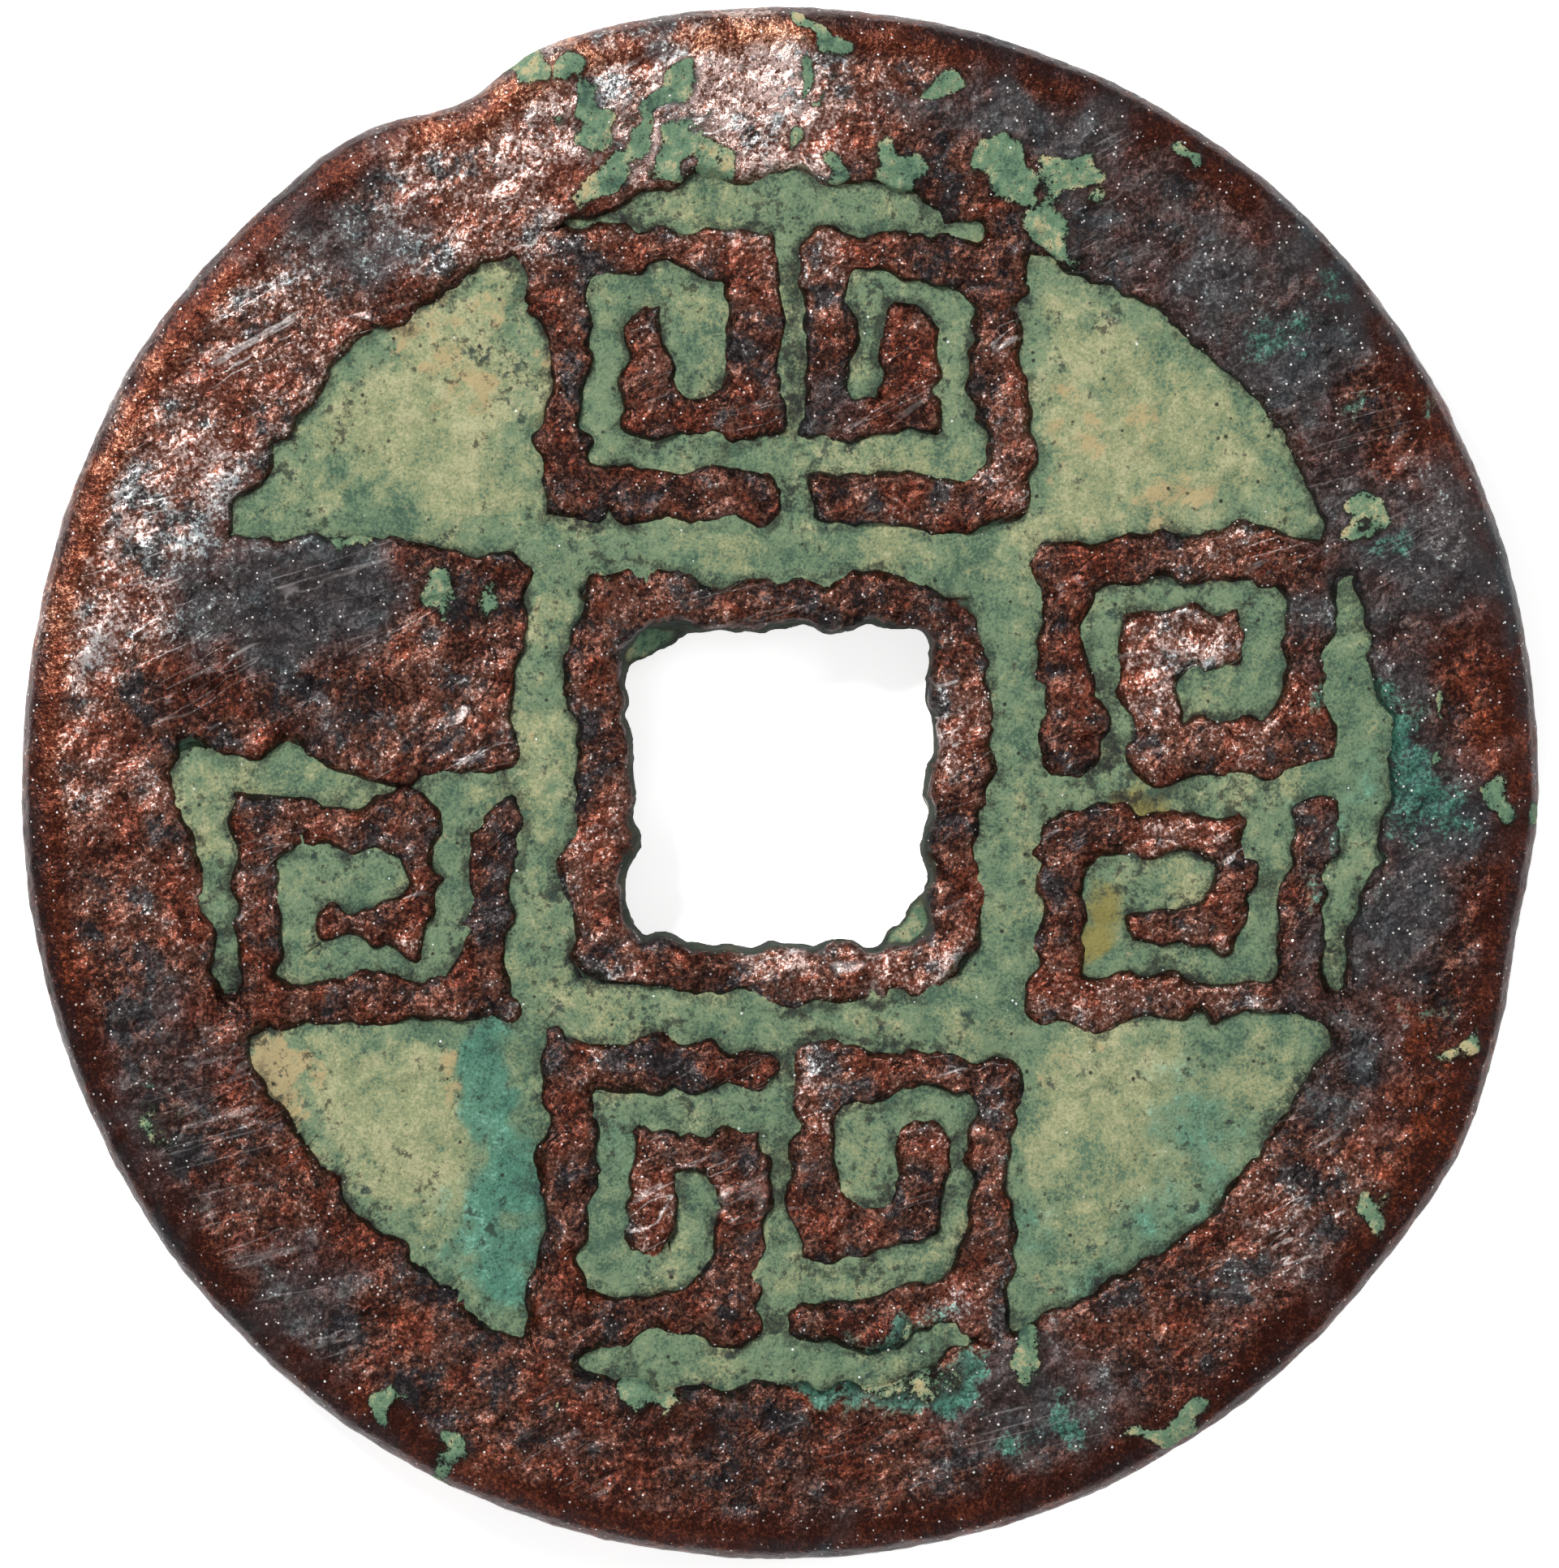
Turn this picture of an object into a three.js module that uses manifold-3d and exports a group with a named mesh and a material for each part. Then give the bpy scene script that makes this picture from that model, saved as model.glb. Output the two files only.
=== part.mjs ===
// A cast copper cash coin: a round disc with a square hole, a broad raised outer rim, a narrow
// raised rim round the hole, four blocks of raised squared-spiral fret on the front and a plain
// back, with the mineral crusts that lie in the pockets of its field. Millimetres, +Z out of the
// front, +Y to the top of the front, the back rim resting on z = 0.
import * as THREE from "three";
import { mergeVertices } from "three/addons/utils/BufferGeometryUtils.js";
import Module from "manifold-3d";

const wasm = await Module();
wasm.setup();

const DEGREE = Math.PI / 180;

// The disc and its outline, which is a little taller than wide and squarer than a circle
const COIN_RADIUS = 12.54;
const OVAL = 0.145;
const SQUARENESS = 0.04;
const EDGE_ROUND = 0.4;
const WEB_THICKNESS = 1.1;
const OUTLINE_STEPS = 168;

// Dents and swells of the edge: how far each stands out, and the angles of its middle and spread
const EDGE_FLAWS = [
  { out: -0.42, at: 115 * DEGREE, spread: 5 * DEGREE },
  { out: 0.13, at: 331 * DEGREE, spread: 7 * DEGREE },
  { out: -0.12, at: 349 * DEGREE, spread: 5 * DEGREE },
  { out: 0.08, at: 146 * DEGREE, spread: 6 * DEGREE },
];

// The rims
const RIM_WIDTH = 2.79;
const FRONT_RISE = 0.42;
const BACK_RISE = 0.32;
const RIM_DRAFT = 0.12;
const HOLE_RIM_WIDTH = 0.86;
const HOLE_RIM_DROP = 0.06;
const FIELD_STEPS = 96;

// The square hole, and the thin flash across two of its corners, whose inner edge is a little hollow
const HOLE_WIDTH = 4.95;
const HOLE_HEIGHT = 5.3;
const HOLE_CORNER = 0.35;
const UPPER_FLASH = { along: 1.15, down: 0.76, hollow: 0.08 };
const LOWER_FLASH = { along: 1.0, down: 0.82, hollow: 0.05 };
const FLASH_THICKNESS = 0.35;

// The squared-spiral fret: spirals in pairs, one pair on each side of the hole
const STROKE = 0.8;
const STROKE_GAP = 0.52;
const STROKE_ROUND = 0.24;
const STROKE_DRAFT = 0.08;
const RELIEF_DROP = 0.04;
const SPIRAL_LENGTH = 3.75;
const SPIRAL_APART = 0.45;
const FRET_MARGIN = 0.8;
const RIM_SLOT = 0.74;

// The flush land at the left, where the metal ran over the field
const LAND_DROP = 0.12;

// The crusts
const CRUST_THICKNESS = 0.26;
const CRUST_CLEARANCE = 0.1;
const CRUST_ROUND = 0.25;

const FIELD_RADIUS = COIN_RADIUS - RIM_WIDTH;
const WEB_BACK = BACK_RISE;
const WEB_FRONT = WEB_BACK + WEB_THICKNESS;
const COIN_TOP = WEB_FRONT + FRONT_RISE;
const ROOT = WEB_THICKNESS / 4;
const CRUST_TOP = WEB_FRONT + CRUST_THICKNESS;

// Where the hole's rim ends, and where each pair of spirals starts and ends, from the middle
const RIM_X = HOLE_WIDTH / 2 + HOLE_RIM_WIDTH;
const RIM_Y = HOLE_HEIGHT / 2 + HOLE_RIM_WIDTH;
const FRET_X = RIM_X + FRET_MARGIN;
const FRET_Y = RIM_Y + FRET_MARGIN;
const FRET_END = FIELD_RADIUS - RIM_SLOT;
const PAIR_HALF = SPIRAL_APART / 2 + SPIRAL_LENGTH;

// A three.js geometry as a solid that can be joined and cut.
function solid(geometry) {
  const bare = geometry.clone();
  bare.deleteAttribute("normal");
  bare.deleteAttribute("uv");
  const merged = mergeVertices(bare, 1e-4);
  return new wasm.Manifold(
    new wasm.Mesh({
      numProp: 3,
      vertProperties: merged.attributes.position.array,
      triVerts: new Uint32Array(merged.index.array),
    }),
  );
}

// A solid back as a three.js geometry with flat facets.
function geometryOf(body) {
  const mesh = body.getMesh();
  const geometry = new THREE.BufferGeometry();
  geometry.setAttribute("position", new THREE.BufferAttribute(mesh.vertProperties, 3));
  geometry.setIndex(new THREE.BufferAttribute(mesh.triVerts, 1));
  const faceted = geometry.toNonIndexed();
  faceted.computeVertexNormals();
  return faceted;
}

// A flat outline pushed up from one height to another, with an optional rounded top and foot.
function slab(shape, low, high, round = 0) {
  const geometry = new THREE.ExtrudeGeometry(shape, {
    depth: high - low - 2 * round,
    bevelEnabled: round > 0,
    bevelThickness: round,
    bevelSize: round,
    bevelOffset: -round,
    bevelSegments: 2,
    curveSegments: 3,
  });
  geometry.translate(0, 0, low + round);
  return solid(geometry);
}

// An outline through corners, each turned on a small curve.
function roundedShape(corners, radius) {
  const shape = new THREE.Shape();
  corners.forEach((corner, i) => {
    const into = corner.clone().sub(corners.at(i - 1));
    const out = corners[(i + 1) % corners.length].clone().sub(corner);
    const reach = Math.min(radius, 0.45 * into.length(), 0.45 * out.length());
    const start = corner.clone().addScaledVector(into.normalize(), -reach);
    const end = corner.clone().addScaledVector(out.normalize(), reach);
    if (i === 0) shape.moveTo(start.x, start.y);
    else shape.lineTo(start.x, start.y);
    shape.quadraticCurveTo(corner.x, corner.y, end.x, end.y);
  });
  shape.closePath();
  return shape;
}

// The four corners of a rectangle, counter-clockwise.
function rectangle(x0, y0, x1, y1) {
  const [left, right] = [Math.min(x0, x1), Math.max(x0, x1)];
  const [low, high] = [Math.min(y0, y1), Math.max(y0, y1)];
  return [
    new THREE.Vector2(left, low),
    new THREE.Vector2(right, low),
    new THREE.Vector2(right, high),
    new THREE.Vector2(left, high),
  ];
}

// How far the edge lies from the middle in one direction.
function outlineRadius(angle) {
  const base = COIN_RADIUS - OVAL * Math.cos(2 * angle) - SQUARENESS * Math.cos(4 * angle);
  const flaws = EDGE_FLAWS.map(({ out, at, spread }) => out * Math.exp(-(((angle - at) / spread) ** 2)));
  return flaws.reduce((sum, flaw) => sum + flaw, base);
}

function outlineShape() {
  const points = [];
  for (let i = 0; i < OUTLINE_STEPS; i++) {
    const angle = (i / OUTLINE_STEPS) * 2 * Math.PI;
    const radius = outlineRadius(angle);
    points.push(new THREE.Vector2(radius * Math.cos(angle), radius * Math.sin(angle)));
  }
  return new THREE.Shape(points);
}

// The round space over the field, as a slightly flared plug between two heights.
function fieldPlug(low, high, lowRadius, highRadius) {
  const plug = new THREE.CylinderGeometry(highRadius, lowRadius, high - low, FIELD_STEPS);
  plug.rotateX(Math.PI / 2);
  plug.translate(0, 0, (low + high) / 2);
  return solid(plug);
}

// The square hole as a plug that runs past both faces.
function holePlug() {
  const corners = rectangle(-HOLE_WIDTH / 2, -HOLE_HEIGHT / 2, HOLE_WIDTH / 2, HOLE_HEIGHT / 2);
  return slab(roundedShape(corners, HOLE_CORNER), -COIN_TOP, 2 * COIN_TOP);
}

// The thin web of flash that a worn mould leaves across one corner of the hole.
function cornerFlash(flash, sideX, sideY) {
  const x = (sideX * HOLE_WIDTH) / 2;
  const y = (sideY * HOLE_HEIGHT) / 2;
  const seat = HOLE_RIM_WIDTH / 2;
  const tip = x - sideX * flash.along;
  const foot = y - sideY * flash.down;
  const bend = [(tip + x) / 2 + sideX * flash.hollow, (foot + y) / 2 + sideY * flash.hollow];
  const shape = new THREE.Shape();
  shape.moveTo(tip, y);
  shape.quadraticCurveTo(...bend, x, foot);
  shape.lineTo(x + sideX * seat, foot);
  shape.lineTo(x + sideX * seat, y + sideY * seat);
  shape.lineTo(tip, y + sideY * seat);
  shape.closePath();
  const middle = (WEB_BACK + WEB_FRONT) / 2;
  return slab(shape, middle - FLASH_THICKNESS / 2, middle + FLASH_THICKNESS / 2);
}

// How far a spiral reaches out from the hole: from its own start to the slot inside the outer rim.
function breadthOf(spiral) {
  return FRET_END - (spiral.quarter ? FRET_X : FRET_Y);
}

// The centre line of a squared spiral in its own axes, winding inwards. Its channel opens at a = 0.
function spiralLine(breadth) {
  const pitch = STROKE + STROKE_GAP;
  const [left, right] = [STROKE / 2, SPIRAL_LENGTH - STROKE / 2];
  const [low, high] = [STROKE / 2, breadth - STROKE / 2];
  const line = [
    [left, low],
    [right, low],
    [right, high],
    [left, high],
    [left, low + pitch],
  ];
  const [innerLow, innerRight, innerHigh] = [low + pitch, right - pitch, high - pitch];
  if (innerRight - left > STROKE) {
    line.push([innerRight, innerLow]);
    if (innerHigh - innerLow > STROKE) line.push([innerRight, innerHigh]);
  }
  return line;
}

// The outline of a stroke along a line of square turns: out along one side, back along the other.
function strokeShape(line, width) {
  const half = width / 2;
  const step = (a, b) => new THREE.Vector2(Math.sign(b[0] - a[0]), Math.sign(b[1] - a[1]));
  const outward = [];
  const homeward = [];
  line.forEach((point, i) => {
    const into = i > 0 ? step(line[i - 1], point) : step(point, line[i + 1]);
    const out = i < line.length - 1 ? step(point, line[i + 1]) : into;
    const end = new THREE.Vector2(...point);
    if (i === 0) end.addScaledVector(into, -half);
    if (i === line.length - 1) end.addScaledVector(into, half);
    const side = new THREE.Vector2(-into.y, into.x);
    if (!into.equals(out)) side.add(new THREE.Vector2(-out.y, out.x));
    outward.push(end.clone().addScaledVector(side, half));
    homeward.unshift(end.clone().addScaledVector(side, -half));
  });
  const corners = [...outward, ...homeward];
  if (THREE.ShapeUtils.area(corners) < 0) corners.reverse();
  return roundedShape(corners, STROKE_ROUND);
}

// Where each spiral starts, which way it runs, and whether it is turned a quarter.
const SPIRALS = {
  top_right: { x: SPIRAL_APART / 2, y: FRET_Y, sideX: 1, sideY: 1, quarter: false },
  top_left: { x: -SPIRAL_APART / 2, y: FRET_Y, sideX: -1, sideY: 1, quarter: false },
  bottom_right: { x: SPIRAL_APART / 2, y: -FRET_Y, sideX: 1, sideY: -1, quarter: false, upended: true },
  bottom_left: { x: -SPIRAL_APART / 2, y: -FRET_Y, sideX: -1, sideY: -1, quarter: false },
  right_upper: { x: FRET_X, y: SPIRAL_APART / 2, sideX: 1, sideY: 1, quarter: true },
  right_lower: { x: FRET_X, y: -SPIRAL_APART / 2, sideX: 1, sideY: -1, quarter: true, upended: true },
  left_upper: { x: -FRET_X, y: SPIRAL_APART / 2, sideX: -1, sideY: 1, quarter: true, upended: true },
  left_lower: { x: -FRET_X, y: -SPIRAL_APART / 2, sideX: -1, sideY: -1, quarter: true },
};

// A point of a spiral's own axes, on the face of the coin.
function onFace(spiral, a, b) {
  const outward = spiral.upended ? breadthOf(spiral) - b : b;
  const [x, y] = spiral.quarter ? [outward, a] : [a, outward];
  return [spiral.x + spiral.sideX * x, spiral.y + spiral.sideY * y];
}

// One spiral of fret, wider all round by grow.
function fret(spiral, grow, low, high) {
  const line = spiralLine(breadthOf(spiral)).map(([a, b]) => onFace(spiral, a, b));
  const round = grow > 0 ? 0 : STROKE_DRAFT;
  return slab(strokeShape(line, STROKE + 2 * grow), low, high, round);
}

// The flush land that fills the upper spiral at the left and joins it to the outer rim.
function leftLand(grow, low, high) {
  const inner = -FRET_X - STROKE / 2 + grow;
  const outer = -FIELD_RADIUS - RIM_DRAFT / 2;
  const foot = SPIRAL_APART / 2 + STROKE / 2 - grow;
  const head = PAIR_HALF - STROKE / 2 + grow;
  return slab(new THREE.Shape(rectangle(outer, foot, inner, head)), low, high);
}

// The narrow rim round the hole, wider all round by grow.
function holeRim(low, high, grow) {
  const corners = rectangle(-RIM_X - grow, -RIM_Y - grow, RIM_X + grow, RIM_Y + grow);
  return slab(roundedShape(corners, HOLE_CORNER + HOLE_RIM_WIDTH), low, high);
}

// Everything raised over the front of the web inside the outer rim.
function frontRelief(grow) {
  const low = WEB_FRONT - ROOT;
  let relief = holeRim(low, COIN_TOP - HOLE_RIM_DROP, grow);
  for (const spiral of Object.values(SPIRALS)) {
    relief = relief.add(fret(spiral, grow, low, COIN_TOP - RELIEF_DROP));
  }
  return relief.add(leftLand(grow, low, COIN_TOP - LAND_DROP));
}

function castBody() {
  const disc = slab(outlineShape(), 0, COIN_TOP, EDGE_ROUND);
  const front = fieldPlug(WEB_FRONT, COIN_TOP + RIM_DRAFT, FIELD_RADIUS, FIELD_RADIUS + RIM_DRAFT);
  const back = fieldPlug(-RIM_DRAFT, WEB_BACK, FIELD_RADIUS + RIM_DRAFT, FIELD_RADIUS);
  return disc
    .subtract(front)
    .subtract(back)
    .add(frontRelief(0))
    .add(holeRim(HOLE_RIM_DROP, WEB_BACK + ROOT, 0))
    .subtract(holePlug())
    .add(cornerFlash(UPPER_FLASH, -1, 1))
    .add(cornerFlash(LOWER_FLASH, 1, -1));
}

// The places of the crusts, each a rectangle of the field from one corner to the opposite one.
function crustPlaces() {
  const clear = CRUST_CLEARANCE;
  const far = FIELD_RADIUS;
  const side = PAIR_HALF + clear;
  const end = FRET_END + clear;
  const nearX = RIM_X + clear;
  const nearY = RIM_Y + clear;
  const stopX = FRET_X - clear;
  const stopY = FRET_Y - clear;
  const half = SPIRAL_APART / 2 - clear;
  const places = {
    crust_upper_left_field: rectangle(-side, side, -far, far),
    crust_upper_right_field: rectangle(side, side, far, far),
    crust_lower_left_field: rectangle(-side, -side, -far, -far),
    crust_lower_right_field: rectangle(side, -side, far, -far),
    crust_left_slot: rectangle(-end, 0, -far, -far),
    crust_right_slot: rectangle(end, far, far, -far),
    crust_top_slot: rectangle(-far, end, far, far),
    crust_bottom_slot: rectangle(-far, -end, far, -far),
    crust_left_of_hole: rectangle(-stopX, -PAIR_HALF, -nearX, PAIR_HALF),
    crust_right_of_hole: rectangle(nearX, -PAIR_HALF, stopX, PAIR_HALF),
    crust_above_hole: rectangle(-RIM_X, nearY, RIM_X, stopY),
    crust_below_hole: rectangle(-RIM_X, -stopY, RIM_X, -nearY),
    crust_between_top_spirals: rectangle(-half, FRET_Y, half, FRET_END),
    crust_between_bottom_spirals: rectangle(-half, -FRET_END, half, -FRET_Y),
    crust_between_left_spirals: rectangle(-FRET_END, -half, -FRET_X, half),
    crust_between_right_spirals: rectangle(FRET_X, -half, FRET_END, half),
  };
  for (const [name, spiral] of Object.entries(SPIRALS)) {
    if (name === "left_upper") continue;
    const from = onFace(spiral, 0, STROKE / 2);
    const to = onFace(spiral, SPIRAL_LENGTH - STROKE / 2, breadthOf(spiral) - STROKE / 2);
    places["crust_in_" + name + "_spiral"] = rectangle(...from, ...to);
  }
  return places;
}

// One crust: its place cut clear of everything raised, of which the largest piece is kept.
function crust(corners, keepOut) {
  const reach = FIELD_RADIUS - CRUST_CLEARANCE;
  const cut = slab(roundedShape(corners, CRUST_ROUND), WEB_FRONT, CRUST_TOP)
    .intersect(fieldPlug(WEB_FRONT, CRUST_TOP, reach, reach))
    .subtract(keepOut);
  const pieces = cut.decompose();
  pieces.sort((a, b) => b.volume() - a.volume());
  return pieces[0];
}

const copper = new THREE.MeshStandardMaterial({ color: 0x6b463a, roughness: 0.5, metalness: 0.85 });
const crustGreen = new THREE.MeshStandardMaterial({ color: 0x7d8c70, roughness: 0.95, metalness: 0 });

const coin = new THREE.Group();

function addPiece(name, body, material) {
  const mesh = new THREE.Mesh(geometryOf(body), material.clone());
  mesh.name = name;
  coin.add(mesh);
}

addPiece("cast_body", castBody(), copper);
const keepOut = frontRelief(CRUST_CLEARANCE);
for (const [name, corners] of Object.entries(crustPlaces())) {
  addPiece(name, crust(corners, keepOut), crustGreen);
}

// The origin is the middle of the box round the coin, on the plane that its back rim rests on.
const box = new THREE.Box3().setFromObject(coin);
const middle = box.getCenter(new THREE.Vector3());
coin.position.set(-middle.x, -middle.y, -box.min.z);

export default coin;
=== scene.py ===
# %% [markdown]
# A worn copper cash coin, finished in Blender round a fixed CAD frame.
# The CAD model gives the true sizes, so every cell here measures it rather than repeating them.
# The casting and the crusts get fine skins with soft ragged edges, and then their finishes.

import bpy
import numpy as np
from mathutils import Matrix, Vector, kdtree, noise


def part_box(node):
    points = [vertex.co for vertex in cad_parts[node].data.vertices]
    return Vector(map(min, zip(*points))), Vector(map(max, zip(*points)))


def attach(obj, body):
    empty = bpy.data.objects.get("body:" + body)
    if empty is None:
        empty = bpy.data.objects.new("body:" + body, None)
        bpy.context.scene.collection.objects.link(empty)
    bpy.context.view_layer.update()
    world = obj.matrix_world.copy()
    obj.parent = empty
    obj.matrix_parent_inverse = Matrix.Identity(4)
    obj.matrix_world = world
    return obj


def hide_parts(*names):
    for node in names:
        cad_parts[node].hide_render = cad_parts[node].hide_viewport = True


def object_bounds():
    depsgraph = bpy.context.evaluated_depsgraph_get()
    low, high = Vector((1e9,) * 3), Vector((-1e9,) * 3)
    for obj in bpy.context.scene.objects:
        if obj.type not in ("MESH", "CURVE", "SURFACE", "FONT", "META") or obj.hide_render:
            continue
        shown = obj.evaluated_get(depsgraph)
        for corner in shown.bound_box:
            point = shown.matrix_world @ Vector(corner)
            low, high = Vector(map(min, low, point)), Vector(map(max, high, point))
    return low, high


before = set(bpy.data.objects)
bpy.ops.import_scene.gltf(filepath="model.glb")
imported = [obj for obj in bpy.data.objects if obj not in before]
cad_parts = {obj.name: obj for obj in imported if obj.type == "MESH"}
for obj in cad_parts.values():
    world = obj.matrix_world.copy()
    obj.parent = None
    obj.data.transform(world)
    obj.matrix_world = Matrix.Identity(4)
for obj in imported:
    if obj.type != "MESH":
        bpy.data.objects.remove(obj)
lowest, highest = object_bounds()
coin_top = highest[2]
print("coin", [round((b - a) * 1000, 2) for a, b in zip(lowest, highest)], "mm")

# %% [markdown]
# Lengths are easier to read in millimetres, and Blender works in metres.
# The photograph shows the coin from straight above, 75.7 of its pixels to the millimetre.
# The heights come from the frame: the crusts stand on the front of the web, and the widest
# slot between the fret and the rim tells how far the sunk field reaches. The field of the back
# is sunk a little less than the field of the front.

# %% Sizes
MM = 0.001
PHOTO_WIDTH = 1921
PIXELS_PER_MM = 75.7
MIDDLE_SHIFT = 1.5 / PIXELS_PER_MM * MM
CAMERA_HEIGHT = 400 * MM
SENSOR = 36.0
BACK_SHALLOWER_MM = 0.1

top_mm = coin_top / MM
web_front_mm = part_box("crust_left_slot")[0][2] / MM
crust_top_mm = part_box("crust_left_slot")[1][2] / MM
field_radius_mm = -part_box("crust_left_slot")[0][0] / MM
web_back_mm = top_mm - web_front_mm - BACK_SHALLOWER_MM
middle_mm = (web_back_mm + web_front_mm) / 2
print("field lies", round(top_mm - web_front_mm, 2), "mm under the rim")
print("field reaches", round(field_radius_mm, 2), "mm from the middle")

# %% [markdown]
# A cast coin has no sharp edges: the mould crumbles a little, and a century of hands rounds the
# rest. Each solid is closed again on a fine grid, which also lets the wear below bend it. The
# grid works on a copy a thousand times larger, because it takes no cell under 0.1 mm, so from
# here on a skin's points are in millimetres until they are put back.

# %% Fine skins
CASTING_CELL_MM = 0.085
CRUST_CELL_MM = 0.11
WELD_MM = 0.001


def fine_skin(node, cell_mm, name):
    mesh = node.data.copy()
    mesh.transform(Matrix.Scale(1 / MM, 4) @ node.matrix_world)
    piece = bpy.data.objects.new(name, mesh)
    bpy.context.scene.collection.objects.link(piece)
    piece.modifiers.new("weld", "WELD").merge_threshold = WELD_MM
    grid = piece.modifiers.new("grid", "REMESH")
    grid.mode = "VOXEL"
    grid.voxel_size = cell_mm
    soften = piece.modifiers.new("soften", "SMOOTH")
    soften.factor = 0.5
    soften.iterations = 3
    settled = piece.evaluated_get(bpy.context.evaluated_depsgraph_get())
    skin = bpy.data.meshes.new_from_object(settled)
    piece.modifiers.clear()
    piece.data = skin
    return piece


casting = fine_skin(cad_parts["cast_body"], CASTING_CELL_MM, "cast_copper_coin")
print("casting skin", len(casting.data.polygons), "faces")

# %% [markdown]
# Whole meshes are read and written as numpy arrays, which is far quicker than point by point.
# Averaging each point with its neighbours rounds a shape, and it also tells hollows from ridges.

# %% Reading and averaging points
def read(layer, name, width):
    flat = np.empty(len(layer) * width, dtype=np.float32)
    layer.foreach_get(name, flat)
    return flat.reshape(-1, width).astype(np.float64)


def read_points(mesh):
    return read(mesh.vertices, "co", 3)


def read_normals(mesh):
    return read(mesh.vertex_normals, "vector", 3)


def average(mesh, values, times):
    pairs = np.empty(len(mesh.edges) * 2, dtype=np.int32)
    mesh.edges.foreach_get("vertices", pairs)
    first, second = pairs.reshape(-1, 2).T
    size = len(mesh.vertices)
    count = np.bincount(first, minlength=size) + np.bincount(second, minlength=size)
    for _ in range(times):
        total = np.bincount(first, values[second], size) + np.bincount(second, values[first], size)
        values = 0.5 * values + 0.5 * total / count
    return values


def write_points(mesh, points, scale=1.0):
    mesh.vertices.foreach_set("co", (points * scale).astype(np.float32).ravel())
    mesh.update()


def keep(piece, name, values):
    layer = piece.data.attributes.new(name, "FLOAT", "POINT")
    layer.data.foreach_set("value", values.astype(np.float32))


def ramp(values, low, high):
    share = np.clip((values - low) / (high - low), 0.0, 1.0)
    return share * share * (3 - 2 * share)


# %% [markdown]
# Three kinds of unevenness make a cast surface. Drift moves edges sideways, alike for the metal
# and the crust beside it, so that they still meet. Swell and grain move the skin in and out.

# %% Unevenness
DRIFTS_MM = ((3.6, 0.34), (1.25, 0.28), (0.42, 0.14))
DRIFT_FADES_MM = 0.9
OUTLINE_KEPT_MM = 11.6
HOLE_DRIFT = 0.4
HOLE_LONGER_MM = 0.2
HOLE_RIM_MM = (2.5, 3.2)


def ripple(points, wavelength, seed, octaves=1):
    places = (points / wavelength + seed * 13.7).tolist()
    if octaves == 1:
        return np.array([noise.noise(place) for place in places])
    return np.array([noise.fractal(place, 0.8, 2.1, octaves) for place in places])


def radius_of(points):
    return np.hypot(points[:, 0], points[:, 1])


def square_radius(points):
    return np.maximum(np.abs(points[:, 0]), np.abs(points[:, 1]) - HOLE_LONGER_MM)


def drift(points):
    flat = points * (1.0, 1.0, 0.0)
    off_hole = ramp(square_radius(points), *HOLE_RIM_MM)
    share = 1 - ramp(radius_of(points), field_radius_mm + DRIFT_FADES_MM, OUTLINE_KEPT_MM)
    share *= HOLE_DRIFT + (1 - HOLE_DRIFT) * off_hole
    moved = points.copy()
    for seed, (wavelength, reach) in enumerate(DRIFTS_MM):
        moved[:, 0] += ripple(flat, wavelength, seed + 1) * reach * share
        moved[:, 1] += ripple(flat, wavelength, seed + 5) * reach * share
    return moved


# %% [markdown]
# First the shoulders of the relief are rounded, more than the grid does, but the outer edge keeps
# its place. Then the edges drift, the walls of the hole less than the rest, and the surface gets its
# swells, pits and grain. The top of the rim is worn a few hundredths of a millimetre below its full
# height, which leaves room for the crust that lies on it here and there.

# %% Wear of the casting
ROUNDING_PASSES = 14
ROUNDING_FADES_MM = (0.6, 1.4)
SWELL_LENGTH_MM = 1.4
SWELL_MM = 0.05
PIT_LENGTH_MM = 0.36
PIT_MM = 0.05
FLANK_LENGTH_MM = 0.75
FLANK_MM = 0.16
FLANK_OUT_MM = 0.03
OUTER_CALM = 0.6
CALM_BAND_MM = 0.5
WORN_OFF_MM = 0.045

mesh = casting.data
points = read_points(mesh)
rounding_ends = [field_radius_mm + reach for reach in ROUNDING_FADES_MM]
inside = 1 - ramp(radius_of(points), *rounding_ends)
rounded = np.stack([average(mesh, points[:, axis], ROUNDING_PASSES) for axis in range(3)], axis=1)
points += (rounded - points) * inside[:, None]
points = drift(points)
write_points(mesh, points)
normals = read_normals(mesh)
push = ripple(points, SWELL_LENGTH_MM, seed=11, octaves=2) * SWELL_MM
push += ripple(points, PIT_LENGTH_MM, seed=12, octaves=4) * PIT_MM
outer = ramp(radius_of(points), OUTLINE_KEPT_MM, OUTLINE_KEPT_MM + CALM_BAND_MM)
points += normals * (push * (1 - outer * OUTER_CALM))[:, None]
waves = ripple(points * (1.0, 1.0, 0.0), FLANK_LENGTH_MM, seed=15, octaves=2)
points[:, :2] += normals[:, :2] * ((FLANK_OUT_MM + waves * FLANK_MM) * inside)[:, None]
print("points of the casting", len(points))

# %% [markdown]
# The finish has to know where it is: how high between the field and the rim, how hollow or
# steep, how near the outer edge, whether in the hole. Each number is later kept on the mesh,
# where a shader can read it.

# %% Places on the casting
OFF_EDGE_MM = (0.3, 0.9)
HIGHEST = 1.2
HOLLOW_PASSES = 20
HOLLOW_UNIT_MM = 0.08
HOLE_WALL_MM = (2.55, 2.8)
STEEP = (0.12, 0.6)

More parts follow.
